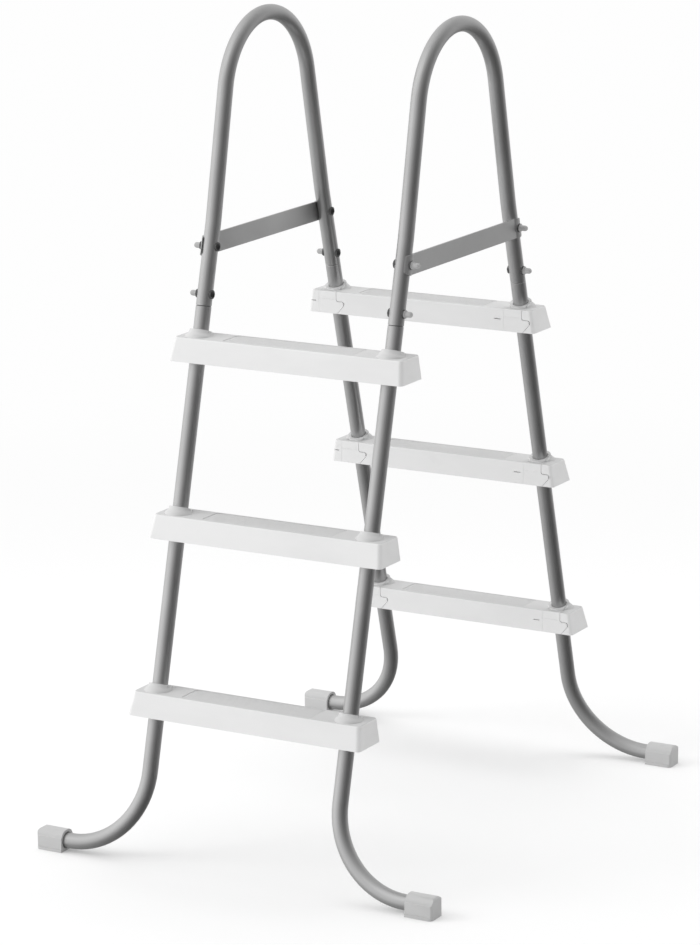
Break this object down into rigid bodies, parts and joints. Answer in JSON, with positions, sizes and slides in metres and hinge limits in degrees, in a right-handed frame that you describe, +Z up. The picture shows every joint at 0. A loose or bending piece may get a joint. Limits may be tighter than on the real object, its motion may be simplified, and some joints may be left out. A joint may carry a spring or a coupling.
{
  "type": "pool ladder",
  "caption": "Free-standing A-frame ladder for an above-ground pool: bent tube side frames, flat braces, clip-on treads on both sides and outward feet.",
  "frame": {"origin": "on the floor, midway between the four feet", "axes": "+X along the steps to the right seen from the outer ladder, +Y from the outer ladder to the ladder in the water, +Z up"},
  "size_m": [0.806, 0.993, 1.471],
  "materials": {
    "tube_paint": "smooth satin grey powder coat",
    "strap_paint": "smooth satin grey powder coat, a little darker",
    "step_plastic": "off-white moulding with a fine matt grain and a sunk grip panel",
    "lock_plastic": "off-white moulding, as the steps",
    "foot_plastic": "light grey soft moulding",
    "bolt_steel": "darkened steel",
    "nut_plastic": "grey capped nut",
    "saddle_plastic": "dark grey curved washer"
  },
  "bodies": {
    "root": {"top_rail_left": "tube_paint", "top_rail_right": "tube_paint", "leg_front_left": "tube_paint", "leg_front_right": "tube_paint", "leg_rear_left": "tube_paint", "leg_rear_right": "tube_paint", "brace_left": "strap_paint", "brace_right": "strap_paint", "step_front_low": "step_plastic", "step_front_mid": "step_plastic", "step_front_top": "step_plastic", "step_rear_low": "step_plastic", "step_rear_mid": "step_plastic", "step_rear_top": "step_plastic", "lock_front_low_left": "lock_plastic", "lock_front_low_right": "lock_plastic", "lock_front_mid_left": "lock_plastic", "lock_front_mid_right": "lock_plastic", "lock_front_top_left": "lock_plastic", "lock_front_top_right": "lock_plastic", "lock_rear_low_left": "lock_plastic", "lock_rear_low_right": "lock_plastic", "lock_rear_mid_left": "lock_plastic", "lock_rear_mid_right": "lock_plastic", "lock_rear_top_left": "lock_plastic", "lock_rear_top_right": "lock_plastic", "foot_front_left": "foot_plastic", "foot_front_right": "foot_plastic", "foot_rear_left": "foot_plastic", "foot_rear_right": "foot_plastic", "brace_bolts": "bolt_steel", "joint_bolts": "bolt_steel", "brace_cap_nuts": "nut_plastic", "joint_cap_nuts": "nut_plastic", "inner_saddles": "saddle_plastic", "joint_saddles": "saddle_plastic", "brace_saddles": "saddle_plastic"}
  },
  "joints": []
}
